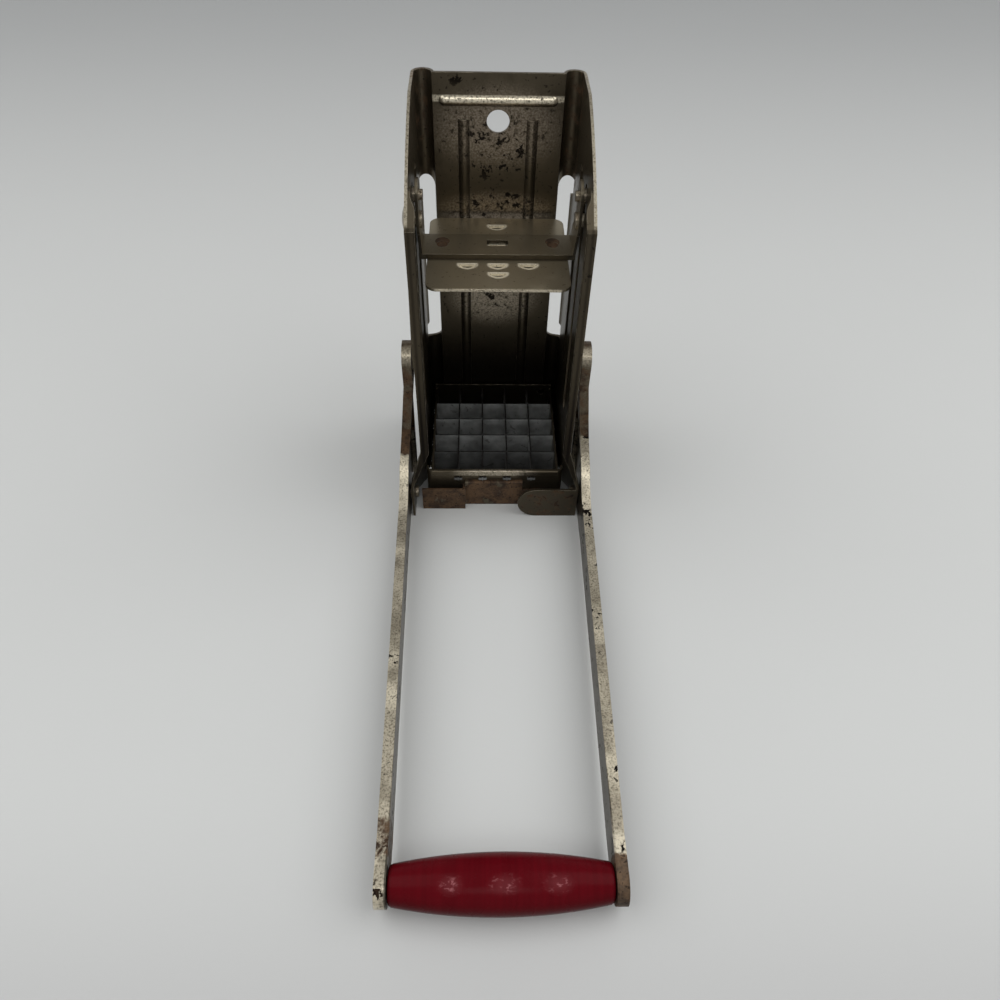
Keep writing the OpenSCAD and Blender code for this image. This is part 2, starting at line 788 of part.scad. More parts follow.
// Arm seen from the side, drawn smaller by inset all round
module arm_outline(inset) {
    r = leg_r - inset;
    top = arm_top - inset;
    translate([elbow_y, elbow_z]) circle(r = r);
    translate([elbow_y - r, heel_z]) square([2 * r, elbow_z - heel_z]);
    intersection() {
        translate([heel_y, heel_z]) circle(r = heel_r - inset);
        translate([heel_y, 0]) square([heel_r, heel_z]);
    }
    translate([grip_y, grip_z]) circle(r = arm_end_r - inset);
    polygon([[grip_y, top], [grip_y, grip_z - arm_end_r + inset],
             [heel_y, arm_foot + inset], [heel_y, top]]);
    difference() {
        translate([fillet_y, grip_z]) square([elbow_y - fillet_y, fillet_z - grip_z]);
        translate([fillet_y, fillet_z]) circle(r = bend_r + inset, $fn = fine_fn);
    }
}

// Where the flange is turned out: along the top, the front edge and the round ends
module flange_outline() {
    intersection() {
        difference() {
            arm_outline(0);
            arm_outline(arm_t);
        }
        union() {
            translate([grip_y, grip_z]) square([handle_l + elbow_y, big]);
            translate([grip_y - big, 0]) square([big, big]);
            translate([fillet_y, elbow_z]) square([big, big]);
        }
    }
}

// Arm w wide: behind its bend the short leg leans in from the ear's plane to the
// link's, and in front of it the long arm closes in towards the grip
module arm_space(w) {
    from_front(fillet_y, big)
        polygon([[arm_in, -cut], [arm_in, fold_low], [pad_in, fold_high], [pad_in, big],
                 [pad_in + w, big], [pad_in + w, fold_high], [arm_in + w, fold_low],
                 [arm_in + w, -cut]]);
    translate([0, 0, -cut]) linear_extrude(big)
        polygon([[arm_in, fillet_y], [far_in, close_end], [far_in, -big], [far_in + w, -big],
                 [far_in + w, close_end], [arm_in + w, fillet_y]]);
}

// Rear edge of the short leg, turned in towards the channel
module arm_hem() {
    lean = (arm_in - pad_in) / (fold_high - fold_low);
    intersection() {
        from_side(0, big) difference() {
            arm_outline(0);
            arm_outline(arm_t);
        }
        from_front(elbow_y, big)
            polygon([[arm_in + arm_t / 2, pivot_z], [arm_in - hem_w, pivot_z],
                     [arm_in - hem_w, fold_low],
                     [arm_in - lean * (hem_top - fold_low), hem_top],
                     [arm_in + arm_t / 2 - lean * (hem_top - fold_low), hem_top],
                     [arm_in + arm_t / 2, fold_low]]);
    }
}

module arm_sheet() {
    intersection() {
        from_side(0, big) arm_outline(0);
        arm_space(arm_t);
    }
    intersection() {
        from_side(0, big) flange_outline();
        arm_space(flange_w);
    }
    arm_hem();
}

module handle_arm() {
    color(nickel) difference() {
        arm_sheet();
        pin_x(arm_in - cut, pivot_y, pivot_z, pivot_d, arm_t + 2 * cut);
        pin_x(far_in - cut, grip_y, grip_z, rod_d, arm_t + 2 * cut);
        pin_x(pad_in - cut, elbow_y, elbow_z, pin_d, arm_t + 2 * cut);
    }
}

// Rivet at the elbow, flush inside
module elbow_rivet() {
    color(bright) {
        pin_x(pad_in, elbow_y, elbow_z, pin_d, arm_t);
        dome_x(pad_in + arm_t, elbow_y, elbow_z, head_d, head_h);
    }
}

// Rivet on which the handle turns in the ear, with a collar between the two
module pivot_rivet() {
    inner_h = 1.5;
    collar_d = pivot_d + 3.6;
    color(bright) {
        pin_x(ear_out + face_gap / 3, pivot_y, pivot_z, collar_d, arm_gap - face_gap / 3);
        pin_x(ear_in - face_gap / 3 - inner_h, pivot_y, pivot_z, pivot_d + 1.4, inner_h);
        pin_x(ear_in - face_gap / 3, pivot_y, pivot_z, pivot_d,
              arm_in + arm_t - ear_in + face_gap / 3);
        dome_x(arm_in + arm_t, pivot_y, pivot_z, head_d, head_h);
    }
}

// Rod through the arms and the grip, headed outside both arms
module grip_rod() {
    outer = far_in + arm_t;
    color(bright) placed() {
        pin_x(-outer, grip_y, grip_z, rod_d, 2 * outer);
        both_sides() dome_x(outer, grip_y, grip_z, rod_head_d, head_h);
    }
}

// Turned wooden grip: a barrel with eased ends
module grip() {
    bore = rod_d / 2 + turn_fit;
    end_r = grip_end_d / 2;
    color(red_lacquer) placed() translate([0, grip_y, grip_z]) rotate([0, 90, 0])
        rotate_extrude() intersection() {
            translate([grip_r - grip_arc, 0]) circle(r = grip_arc, $fn = 4 * fine_fn);
            translate([bore, -grip_half]) square([grip_r, 2 * grip_half]);
            union() {
                translate([0, grip_round - grip_half])
                    square([grip_r, 2 * (grip_half - grip_round)]);
                translate([0, -grip_half]) square([end_r - grip_round, 2 * grip_half]);
                for (z = [grip_round - grip_half, grip_half - grip_round])
                    translate([end_r - grip_round, z]) circle(r = grip_round);
            }
        }
}

// Places a right-hand piece, or its mirror image on the left
module right() {
    placed() children();
}

module left() {
    placed() mirror([1, 0, 0]) children();
}

body_shell();
grid_frame();
grid_apron();
blade_long(1);  // blade_long_1
blade_long(2);  // blade_long_2
blade_long(3);  // blade_long_3
blade_long(4);  // blade_long_4
blade_cross(1);  // blade_cross_1
blade_cross(2);  // blade_cross_2
blade_cross(3);  // blade_cross_3
blade_cross(4);  // blade_cross_4
pusher_plate();
pusher_yoke();
yoke_rivets();
left() link_pin();  // link_pin_left
right() link_pin();  // link_pin_right
left() guide_stud();  // guide_stud_left
right() guide_stud();  // guide_stud_right
left() link();  // link_left
right() link();  // link_right
left() handle_arm();  // handle_arm_left
right() handle_arm();  // handle_arm_right
left() elbow_rivet();  // elbow_rivet_left
right() elbow_rivet();  // elbow_rivet_right
left() pivot_rivet();  // pivot_rivet_left
right() pivot_rivet();  // pivot_rivet_right
grip_rod();
grip();
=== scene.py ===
"""Finishes, studio and camera for the lever-action french fry cutter."""

import math

import bpy
from bpy.props import FloatProperty, FloatVectorProperty, PointerProperty
from bpy.types import Operator, Panel, PropertyGroup
from mathutils import Matrix, Vector


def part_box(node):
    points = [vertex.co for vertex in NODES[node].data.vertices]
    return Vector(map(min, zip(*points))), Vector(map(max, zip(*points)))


bl_info = {
    "name": "Fry Cutter Finishes",
    "version": (1, 0, 0),
    "blender": (4, 5, 0),
    "location": "View3D > Sidebar > Fry Cutter",
    "description": "Tarnished nickel, blade steel and red lacquer for the french fry cutter",
    "category": "Material",
}

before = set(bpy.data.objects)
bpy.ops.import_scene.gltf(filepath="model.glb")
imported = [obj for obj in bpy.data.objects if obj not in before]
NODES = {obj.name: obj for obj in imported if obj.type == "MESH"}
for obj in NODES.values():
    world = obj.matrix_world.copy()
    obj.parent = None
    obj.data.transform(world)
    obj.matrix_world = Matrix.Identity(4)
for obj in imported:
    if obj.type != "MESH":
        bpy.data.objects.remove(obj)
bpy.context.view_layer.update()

MM = 0.001

BLADES = [f"blade_{run}_{i}" for run in ("long", "cross") for i in range(1, 5)]
ARMS = ["handle_arm_left", "handle_arm_right"]
LINKS = ["link_left", "link_right"]
RIVETS = [f"{rivet}_{side}" for rivet in ("link_pin", "guide_stud", "elbow_rivet", "pivot_rivet")
          for side in ("left", "right")] + ["grip_rod"]


def node_low(name):
    """Lowest corner of a node's box."""
    return Vector(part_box(name)[0])


def node_high(name):
    """Highest corner of a node's box."""
    return Vector(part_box(name)[1])


def node_middle(name):
    """Middle of a node's box."""
    return (node_low(name) + node_high(name)) / 2


# ------------------------------------------------------------------ places
# In metres. X is measured from the middle of the cutter, left below zero, and Z from the table.

SHELL_FRONT = node_low("body_shell").y
SHELL_TOP = node_high("body_shell").z
BACK_FACE = node_high("body_shell").y - 0.006      # just before the back plate's inner face
WALL_IN = node_high("grid_frame").x + 0.0003       # the grid frame stops just short of the walls
FLANGE_IN = node_high("pusher_plate").x + 0.0016   # the pusher clears the front flanges by this
PIVOT_Y = node_middle("pivot_rivet_left").y
ELBOW = node_middle("elbow_rivet_left")
GRIP_MIDDLE = node_middle("grip")
GRIP_FRONT = node_low("grip").y
ARM_IN = node_low("handle_arm_right").x            # inner faces of the arms
YOKE_W = 0.017                                     # front-to-back width of the yoke's strap
YOKE_RIVET_X = node_high("yoke_rivets").x - 0.0024   # less the radius of the lower heads
TAB_END = Vector((0.028, SHELL_FRONT, 0.010))      # of the tab that crosses the front

# Patches on the back plate: x, drop from the top, half width, half height, share that fades. The
# first three are painted reflection; the speckled ones hold clusters of specks.
CROWN_REFLECTION = (0, 0.023, 0.036, 0.022, 0.6)
SHOULDER_REFLECTION = (0, 0.061, 0.032, 0.011, 0.5)
BELLY_REFLECTION = (0, 0.108, 0.028, 0.022, 0.7)
SPECKLED = ((0, 0.032, 0.026, 0.022, 0.6), (0, 0.058, 0.024, 0.014, 0.6),
            (0.002, 0.107, 0.014, 0.016, 0.7), (-0.017, 0.001, 0.012, 0.007, 0.7))

# Slits of the pusher's scoops, before each of which a highlight is painted: x and distance behind
# the pivots
SCOOPS = ((0, 0.0560), (0, 0.0389), (-0.0134, 0.0233), (0, 0.0233), (0.0134, 0.0233),
          (0, 0.0163))
YOKE_SLOT = 0.04025                                # the slot's middle behind the pivots; a highlight is painted through it

# Pale spots along the grip: x and length as a share of the spot size
PALE_SPOTS = ((-0.0185, 0.9), (0.001, 1.2), (0.0205, 1.1))

TABLE_HALF = 3.0
TABLE_FAR = (0.12, 0.95)                           # y over which the table's far painted shade comes in
TABLE_NEAR = (-0.08, -0.24)                        # and its near painted shade
CAMERA_PLACE = Vector((-8.4, -218.55, 324.8)) * MM
SENSOR_MM = 36
LAMP_TARGET = Vector((0, 0, 0.05))

# Square lamps: name, place, width, watts
LAMPS = (("left_softbox", (-0.95, 0.0, 1.30), 1.5, 10.0),
         ("right_softbox", (0.95, 0.0, 1.30), 1.5, 12.0),
         ("front_softbox", (0.0, -1.2, 1.4), 0.5, 3.0))


# ------------------------------------------------------------------ shader maths

class Flow:
    """A number that varies over a surface. An expression on it adds its Math nodes."""

    def __init__(self, finish, socket):
        self.finish = finish
        self.socket = socket

    def math(self, operation, *values):
        return self.finish.node("Math", {"operation": operation}, dict(enumerate(values)))

    def __add__(self, other):
        return self.math("ADD", self, other)

    __radd__ = __add__

    def __sub__(self, other):
        return self.math("SUBTRACT", self, other)

    def __rsub__(self, other):
        return self.math("SUBTRACT", other, self)

    def __mul__(self, other):
        return self.math("MULTIPLY", self, other)

    __rmul__ = __mul__

    def __abs__(self):
        return self.math("ABSOLUTE", self)

    def at_most(self, other):
        return self.math("MINIMUM", self, other)

    def at_least(self, other):
        return self.math("MAXIMUM", self, other)

    def rise(self, low, high):
        """0 below low, 1 above high and a smooth step between; falls where high is lower."""
        if low > high:
            return 1 - self.rise(high, low)
        return self.finish.node("MapRange", {"interpolation_type": "SMOOTHSTEP"},
                                {"Value": self, "From Min": low, "From Max": high})

    def within(self, half, soft):
        """1 up to half away from zero on both sides, fading out over soft beyond it."""
        return abs(self).rise(half + soft, half)


def highest(first, *others):
    """The greatest of several flows at each place."""
    for other in others:
        first = first.at_least(other)
    return first


class Shading:
    """A node tree. Every shader node comes from node()."""

    def __init__(self, owner):
        owner.use_nodes = True
        self.tree = owner.node_tree
        self.tree.nodes.clear()

    def node(self, kind, settings=None, values=None, output=0):
        """Adds a node: its settings first, then the values or links of its sockets."""
        added = self.tree.nodes.new("ShaderNode" + kind)
        for key, value in (settings or {}).items():
            setattr(added, key, value)
        for key, value in (values or {}).items():
            if isinstance(value, Flow):
                self.tree.links.new(value.socket, added.inputs[key])
            else:
                added.inputs[key].default_value = value
        return Flow(self, added.outputs[output]) if added.outputs else None


class Finish(Shading):
    """One node material."""

    def __init__(self, name):
        self.material = bpy.data.materials.new(name)
        super().__init__(self.material)
        self.place = self.node("TexCoord", output="Object")

    def noise(self, size, detail, rough=0.55, place=None, warp=0.0):
        """Noise whose patches are about size metres wide."""
        return self.node("TexNoise", None, {
            "Vector": place or self.place, "Scale": 1 / size, "Detail": detail,
            "Roughness": rough, "Distortion": warp})

    def stretched(self, along):
        """Coordinates pulled out by the factors in along, for drawn or turned marks."""
        return self.node("VectorMath", {"operation": "MULTIPLY"}, {0: self.place, 1: along})

    def axis(self, name):
        """One coordinate, in metres."""
        return self.node("SeparateXYZ", None, {0: self.place}, name)

    def facing(self, direction):
        """1 where the surface faces direction, 0 at right angles to it, -1 behind."""
        normal = self.node("NewGeometry", output="Normal")
        return self.node("VectorMath", {"operation": "DOT_PRODUCT"},
                         {0: normal, 1: direction}, "Value")

    def near(self, point, radii, soft):
        """1 round a point and 0 beyond radii of it along each axis; soft is the share of
        the radii over which it fades."""
        offset = self.node("VectorMath", {"operation": "SUBTRACT"}, {0: self.place, 1: point})
        share = self.node("VectorMath", {"operation": "DIVIDE"}, {0: offset, 1: radii})
        length = self.node("VectorMath", {"operation": "LENGTH"}, {0: share}, "Value")
        return length.rise(1.0, 1.0 - soft)

    def blend(self, share, under, over):
        """Colour that goes from under to over as share goes from 0 to 1."""
        return self.node("Mix", {"data_type": "RGBA"}, {0: share, 6: colour(under),
                                                        7: colour(over)}, 2)

    def rounded(self, radius):
        """Normal with its edges eased by a radius in metres."""
        return self.node("Bevel", {"samples": 4}, {"Radius": radius})

    def edges(self, eased):
        """1 on edges and corners, where the eased normal leaves the true one."""
        normal = self.node("NewGeometry", output="Normal")
        same = self.node("VectorMath", {"operation": "DOT_PRODUCT"},
                         {0: eased, 1: normal}, "Value")
        return (1 - same).rise(0.01, 0.12)

    def surface(self, base, rough, metallic, height, depth, eased=None, **fixed):
        """Principled surface. height times depth is its bump in metres, over the eased normal
        if there is one; fixed holds sockets that are the same all over."""
        bump = {"Height": height, "Distance": depth, "Strength": 1.0}
        if eased is not None:
            bump["Normal"] = eased
        values = {"Base Color": colour(base), "Roughness": rough, "Metallic": metallic,
                  "Normal": self.node("Bump", None, bump)}
        values.update({key.replace("_", " "): value for key, value in fixed.items()})
        shader = self.node("BsdfPrincipled", None, values)
        self.node("OutputMaterial", None, {"Surface": shader})
        return self.material


class Plate(Finish):
    """Old nickel plate on pressed steel. A method lays one layer over those before it, as
    fully as its flow, where, says. An operator lays them in the order of the methods."""

    def __init__(self, name, tint, cover=0.5, grime=0.4):
        """cover is the share under brown film, and grime how thickly the specks lie."""
        super().__init__(name)
        self.tint = tint
        self.grime = grime
        cloud = self.noise(0.035, 3, 0.5)
        self.film = self.noise(0.008, 3, 0.55, warp=0.4)
        self.grain = self.noise(0.0009, 2, 0.6)
        self.pit = self.noise(0.0016, 3, 0.5)
        self.stain = self.noise(0.0042, 5, 0.66, warp=0.3)
        self.filmed = (0.65 * cloud + 0.35 * self.film).rise(0.75 - 0.5 * cover,
                                                             1.0 - 0.5 * cover)
        self.base = self.blend(1 - self.filmed, tint.tarnish, tint.plate)
        self.rough = 0.28 + 0.12 * cloud
        self.metal = 0.85 - 0.2 * self.filmed
        self.height = 0.3 * self.film + 0.2 * self.grain
        self.pits = self.pit.rise(0.66, 0.69) * (0.4 + 0.6 * grime)
        self.specked = None

    def lay(self, where, tint):
        """Covers the base with a colour."""
        self.base = self.blend(where, self.base, tint)

    def smooth(self, where=1.0):
        """Even plate, through which some of the dull plate shows where no film lies."""
        self.lay(where * (0.75 + 0.25 * self.filmed), self.tint.smooth)

    def pale(self, where):
        """Plate under a thin film, mottled; on the back plate it is painted reflection."""
        self.lay(where * (0.3 + 0.7 * self.grain.rise(0.38, 0.60)), self.tint.pale)
        self.lay(where * self.grain.rise(0.56, 0.68) * 0.6, self.tint.champagne)
        self.lay(where * self.pit.rise(0.54, 0.62) * 0.7, self.tint.tarnish)

    def shine(self, where):
        """Bright plate with brown grain in it: plate that is still bright where it is rubbed, and
        painted highlight and reflection where light would catch it.
        """
        self.lay(where * (0.5 + 0.5 * self.grain.rise(0.34, 0.62)), self.tint.bright)
        self.lay(where * self.grain.rise(0.42, 0.34) * 0.6, self.tint.tarnish)
        self.rough = self.rough - 0.06 * where

    def shade(self, where):
        """Painted shade and shadow in folds, corners and faces turned from the light; on burnt and
        rusty places it is dark dirt.
        """
        self.lay(where, self.tint.soot_and_shade)

    def glint(self, where):
        """Painted highlight that looks white from every side, on bent faces and on rubbed patches;
        less metal keeps it bright.
        """
        self.lay(where * (0.5 + 0.5 * self.grain.rise(0.35, 0.50)), self.tint.bright)
        self.metal = self.metal * (1 - 0.8 * where)

    def specks(self, dark=None):
        """Black specks all over, and clusters of them where dark says."""
        self.specked = self.stain.rise(0.650, 0.675) * self.grime
        if dark is not None:
            cluster = (self.stain + 0.09 * dark).rise(0.655, 0.68)
            self.specked = self.specked.at_least((0.4 + 0.6 * dark) * cluster)
        self.lay(self.specked * 0.92, self.tint.soot_and_shade)
        self.rough = self.rough + 0.2 * self.specked

    def rust(self, where):
        """Rust that breaks out where the stains are strong, ochre in places and pitted."""
        rusted = (where * (0.45 + 1.1 * self.stain)).rise(0.44, 0.58)
        crust = self.blend((0.35 * self.pit + 0.65 * self.film).rise(0.36, 0.62),
                           self.tint.rust, self.tint.ochre)
        self.lay(rusted * 0.95, crust)
        self.rough = self.rough + 0.25 * rusted
        self.metal = self.metal * (1 - 0.6 * rusted)
        self.height = self.height + 0.4 * rusted * self.pit
        self.pits = self.pits.at_least(rusted * self.pit.rise(0.60, 0.64))

    def worn(self, wear):
        """Closes the surface: dark pits, and edges rubbed bright by wear."""
        self.lay(self.pits * 0.75, self.tint.soot_and_shade)
        height = self.height - 0.5 * self.pits - 0.5 * self.specked
        eased = self.rounded(0.0003)
        rubbed = self.edges(eased) * self.noise(0.004, 3).rise(0.35, 0.60) * wear
        self.lay(rubbed, self.tint.champagne)
        return self.surface(self.base, self.rough, self.metal, height, 0.0001, eased,
                            Specular_IOR_Level=0.2)


def colour(value):
    """Colour sockets take four numbers; a flow passes as it is."""
    return value if isinstance(value, Flow) else (*value[:3], 1.0)


def darkened(tint, share):
    """A tint at a share of its brightness."""
    return [share * part for part in tint]


def dress(names, material):
    """Gives the nodes one finish."""
    for name in names:
        slots = NODES[name].material_slots
        for slot in slots:
            slot.material = material
        if not slots:
            NODES[name].data.materials.append(material)


# ------------------------------------------------------------------ properties

def tint_property(name, description, default):
    """Colour that a user can change."""
    return FloatVectorProperty(name=name, description=description, subtype="COLOR", size=3,
                               min=0, max=1, default=default)


class MetalTints(PropertyGroup):
    """Colours of the plated, rusted and bare steel"""
    plate: tint_property("Plate", "Dull nickel plate", (0.098, 0.081, 0.055))
    tarnish: tint_property("Tarnish", "Olive-brown film over the nickel", (0.046, 0.037, 0.022))
    pale: tint_property("Pale plate", "Nickel under a thin film", (0.33, 0.275, 0.212))
    smooth: tint_property("Smooth plate", "Clean dull nickel of the pusher", (0.43, 0.375, 0.27))
    champagne: tint_property("Champagne plate", "Clean yellowish nickel", (0.34, 0.30, 0.225))
    bright: tint_property("Bright plate", "Nickel that is rubbed bright", (0.76, 0.69, 0.535))
    # The specks' colour is also the colour of the painted shade.
    soot_and_shade: tint_property("Specks", "Black-brown specks and pits", (0.006, 0.004, 0.003))
    rust: tint_property("Rust", "Dark brown rust", (0.034, 0.019, 0.012))
    ochre: tint_property("Light rust", "Orange-brown rust", (0.125, 0.072, 0.038))
    steel: tint_property("Blade steel", "Bare steel of the blades", (0.50, 0.51, 0.50))


class LacquerTints(PropertyGroup):
    """Colours of the grip"""
    lacquer: tint_property("Lacquer", "Deep red lacquer", (0.096, 0.0020, 0.0052))
    # Colour and half length of the pale ragged spots on the grip.
    pale_spot: tint_property("Scuffs", "Pale rubbed places in the lacquer", (0.32, 0.105, 0.115))
    pale_spot_size: FloatProperty(
        name="Scuff size", description="Half length of a scuff", unit="LENGTH",
        min=0, max=0.02, default=0.0065)


class StudioSettings(PropertyGroup):
    """Table, room light and camera"""
    floor: tint_property("Floor", "Pale grey table", (0.60, 0.61, 0.60))
    # The near and far tones of the table are painted shade.
    near_floor_shade: tint_property("Near floor", "Table in front of the grip", (0.44, 0.44, 0.44))
    far_floor_shade: tint_property("Far floor", "Table far behind the cutter", (0.40, 0.41, 0.41))
    horizon: FloatProperty(
        name="Horizon", description="Light from the room at eye level", min=0, max=2,
        default=0.60)
    zenith: FloatProperty(
        name="Ceiling", description="Light from the room's ceiling", min=0, max=2,
        default=0.30)
    lens: FloatProperty(
        name="Lens", description="Focal length of the camera, in mm of a 36 mm sensor",
        min=10, max=200, default=28.8)
    pitch: FloatProperty(
        name="Pitch", description="How far the camera looks down", unit="ROTATION",
        default=math.radians(48.39))
    yaw: FloatProperty(
        name="Yaw", description="How far the camera turns to the right", unit="ROTATION",
        default=math.radians(2.30))
    roll: FloatProperty(
        name="Roll", description="How far the camera tips to its left", unit="ROTATION",
        default=math.radians(1.74))


GROUPS = {"fry_metal": MetalTints, "fry_lacquer": LacquerTints, "fry_studio": StudioSettings}


# ------------------------------------------------------------------ operators

class FRYCUTTER_OT_channel(Operator):
    """Tarnished nickel for the channel and the frame of its grid"""
    bl_idname = "frycutter.channel"
    bl_label = "Channel"

    def execute(self, context):
        self.dress_shell(context.scene.fry_metal)
        self.dress_frame(context.scene.fry_metal)
        return {"FINISHED"}

    def dress_shell(self, tint):
        """Painted reflection in pale patches on a brown back plate, painted shade on the flanges
        and at the foot, and painted highlights on the top rib and on the edges where the walls
        start to lean back.
        """
        plate = Plate("tarnished_channel", tint, grime=0.75)
        inside = plate.facing((0, -1, 0)).rise(0.0, 0.2)
        crown_reflection = self.on_back(plate, *CROWN_REFLECTION)
        shoulder_reflection = self.on_back(plate, *SHOULDER_REFLECTION)
        belly_reflection = self.on_back(plate, *BELLY_REFLECTION)
        speckled = highest(*(self.on_back(plate, *patch) for patch in SPECKLED))
        tab_end = plate.near(TAB_END, (0.022, 0.004, 0.016), 0.4)
        # Painted reflection: pale patches on the back plate's faces that look to the front.
        plate.pale(highest(0.75 * crown_reflection, 0.8 * shoulder_reflection, belly_reflection) * (0.2 + 0.8 * inside))
        # Painted highlights on the top rib and on the edges where the walls start to lean back,
        # and painted reflection low on the back plate.
        plate.shine(highest(self.top_rib(plate), 0.55 * self.shoulder_edge_highlights(plate),
                            0.16 * belly_reflection * inside))
        # Painted shade on the flanges and at the foot of the channel; a darker tone on the end of
        # the tab.
        plate.shade(highest(self.flanges(plate), 0.8 * self.deep_shade(plate), 0.35 * tab_end))
        plate.specks(highest(speckled * inside, 0.9 * tab_end))
        plate.rust(0.47 * highest(tab_end, self.columns(plate)))
        dress(["body_shell"], plate.worn(0.9))

    def on_back(self, plate, x, drop, half_width, half_height, fade):
        """A patch on the back plate."""
        return plate.near((x, BACK_FACE, SHELL_TOP - drop), (half_width, 0.012, half_height),
                          fade)

    def top_rib(self, plate):
        """The upper side of the rib across the top, which catches the light."""
        height = plate.axis("Z") - (SHELL_TOP - 0.0105)
        return (plate.axis("X").within(0.0278, 0.001) * height.within(0.0008, 0.001)
                * plate.axis("Y").rise(BACK_FACE - 0.004, BACK_FACE))

    def shoulder_edge_highlights(self, plate):
        """Painted highlight on the bare edges of the walls where their shoulders start to lean
        back, on the faces turned up and forward.
        """
        wall = abs(plate.axis("X")).rise(WALL_IN - 0.0002, WALL_IN + 0.0001)
        return (wall * plate.axis("Z").rise(SHELL_TOP - 0.0285, SHELL_TOP - 0.0265)
                * plate.facing((0, -0.7, 0.7)).rise(0.5, 0.8))

    def flanges(self, plate):
        """Painted shade on the front flanges: all along them, more along the hem and in the valley
        before the wall, and more towards the foot."""
        side, height = abs(plate.axis("X")), plate.axis("Z")
        front = plate.axis("Y").rise(SHELL_FRONT + 0.0016, SHELL_FRONT + 0.0010)
        hem = side.rise(FLANGE_IN + 0.0007, FLANGE_IN + 0.0001)
        valley = (side.rise(WALL_IN - 0.0013, WALL_IN - 0.0004)
                  * side.rise(WALL_IN + 0.0006, WALL_IN))
        soot_and_shade = 0.30 + 0.6 * highest(0.75 * hem, 0.5 * valley) + 0.5 * height.rise(0.12, 0.04)
        return front * height.rise(0.024, 0.030) * soot_and_shade.at_most(0.95)

    def deep_shade(self, plate):
        """Painted shade at the foot of the channel, darker towards the back plate."""
        return (plate.axis("Z").rise(0.075, 0.035)
                * plate.axis("Y").rise(SHELL_FRONT + 0.02, BACK_FACE))

    def columns(self, plate):
        """The upper part of the rear columns."""
        return (abs(plate.axis("X")).rise(0.026, 0.031)
                * plate.axis("Y").rise(BACK_FACE - 0.012, BACK_FACE - 0.004)
                * plate.axis("Z").rise(0.120, 0.150))

    def dress_frame(self, tint):
        """A pale fold with a painted highlight along the front wall, and painted shade towards the
        rear one.
        """
        plate = Plate("tarnished_frame", tint)
        front, blade_top = node_low("grid_frame").y, node_high("blade_long_1").z
        # Pale plate and a painted highlight on the fold along the front wall.
        face = plate.near((0, front, blade_top - 0.0015), (0.026, 0.004, 0.0035), 0.6)
        # Painted shade towards the rear wall of the frame.
        rear = plate.axis("Y").rise(0.11, 0.125)
        plate.pale(face)
        plate.shine(0.3 * face)
        plate.shade(0.75 * rear)
        plate.specks()
        dress(["grid_frame"], plate.worn(0.8))


class FRYCUTTER_OT_apron(Operator):
    """Rusted steel for the apron in front of the grid"""
    bl_idname = "frycutter.apron"
    bl_label = "Apron"

    def execute(self, context):
        plate = Plate("rusted_apron", context.scene.fry_metal, cover=0.4, grime=0.9)
        blotches = plate.noise(0.008, 4).rise(0.25, 0.55)
        plate.pale(0.6 * blotches)
        plate.specks()
        plate.rust(0.42 + 0.3 * blotches)
        dress(["grid_apron"], plate.worn(0.3))
        return {"FINISHED"}


class FRYCUTTER_OT_blades(Operator):
    """Smooth grey blade steel with water marks"""
    bl_idname = "frycutter.blades"
    bl_label = "Blades"

    def execute(self, context):
        tint = context.scene.fry_metal
        finish = Finish("blade_steel")
        cloud = finish.noise(0.007, 3, 0.5)
        marks = finish.noise(0.0045, 4, 0.6, warp=0.8)
        grain = finish.noise(0.0006, 2, place=finish.stretched((1, 1, 0.2)))
        # Painted shade on the first row of blades; the faces turned up are darkened as well.
        first_blade = node_middle("blade_cross_1").y
        front = finish.axis("Y").rise(first_blade + 0.00175, first_blade - 0.00025)
        edge = finish.facing((0, 0, 1)).rise(0.6, 0.9)
        base = finish.blend(cloud.rise(0.3, 0.7), darkened(tint.steel, 0.6), tint.steel)
        base = finish.blend(marks.rise(0.60, 0.66) * 0.5, base, tint.tarnish)
        base = finish.blend(highest(0.6 * front, 0.95 * edge), base, tint.soot_and_shade)
        dress(BLADES, finish.surface(base, 0.30 + 0.2 * cloud, 0.6 - 0.2 * cloud,
                                     0.4 * grain + 0.2 * marks, 0.00003,
                                     finish.rounded(0.0001)))
        return {"FINISHED"}


